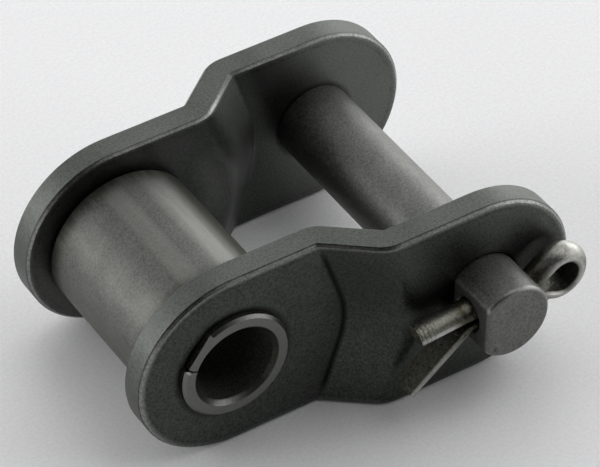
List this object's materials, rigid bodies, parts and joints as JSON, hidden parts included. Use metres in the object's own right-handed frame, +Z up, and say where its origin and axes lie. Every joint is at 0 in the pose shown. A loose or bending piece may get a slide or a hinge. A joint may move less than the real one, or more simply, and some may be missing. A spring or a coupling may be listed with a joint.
{
  "type": "cranked roller chain connecting link",
  "caption": "Cranked connecting link for a roller chain, with a roller on its bush at the narrow end and a pin locked by a split pin at the wide end.",
  "frame": {"origin": "centre of the bush bore, midway between the two plates", "axes": "+X from the bush axis to the connecting pin's axis, +Y along the bush to the far plate, away from the split pin, +Z up"},
  "size_m": [0.0461, 0.0394, 0.0206],
  "materials": {
    "plate_steel": "dark oiled satin",
    "bush_steel": "satin grey",
    "roller_steel": "satin grey",
    "pin_steel": "satin grey",
    "wire_steel": "drawn wire"
  },
  "bodies": {
    "link": {"near_plate": "plate_steel", "far_plate": "plate_steel", "bush": "bush_steel", "connecting_pin": "pin_steel", "split_pin": "wire_steel"},
    "roller": {"roller": "roller_steel"}
  },
  "joints": [
    {"name": "roller_spin", "type": "hinge", "parent": "link", "child": "roller", "pos_m": [0, 0, 0], "axis": [0, 1, 0], "continuous": true}
  ]
}
